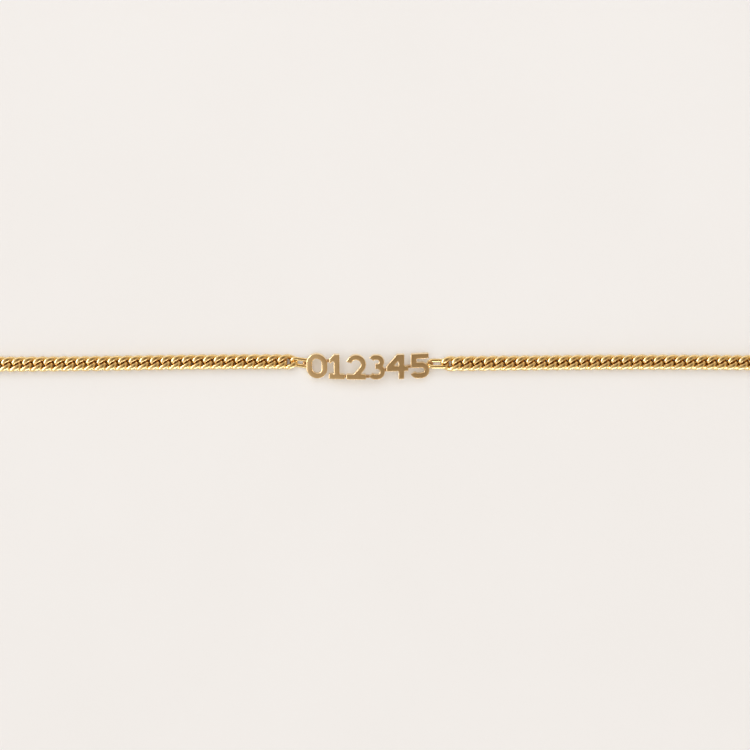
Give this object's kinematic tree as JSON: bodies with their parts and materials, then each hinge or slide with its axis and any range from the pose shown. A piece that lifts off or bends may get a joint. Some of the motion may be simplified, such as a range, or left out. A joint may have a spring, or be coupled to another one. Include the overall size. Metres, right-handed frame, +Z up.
{
  "type": "nameplate bracelet",
  "caption": "Cut-out plate of plain joined digits, slightly arched, held by a soldered oval ring at each end between two curb chains that end in a spring ring clasp and a plain ring.",
  "frame": {"origin": "on the surface that the bracelet lies on, under the middle of the nameplate's length, within half a millimetre of the middle of the whole bracelet", "axes": "+X along the bracelet from the end ring to the spring ring clasp, the way the digits read; +Y across it, towards the tops of the digits; +Z up"},
  "size_m": [0.1779, 0.0056, 0.0025],
  "materials": {
    "plate_gold": "satin gold, with fine polishing lines and brown solder in the gaps between the digits",
    "chain_gold": "polished gold",
    "clasp_gold": "polished gold"
  },
  "bodies": {
    "root": {"nameplate": "plate_gold", "chain_left": "chain_gold", "chain_right": "chain_gold", "spring_clasp": "clasp_gold", "end_ring": "clasp_gold"}
  },
  "joints": []
}
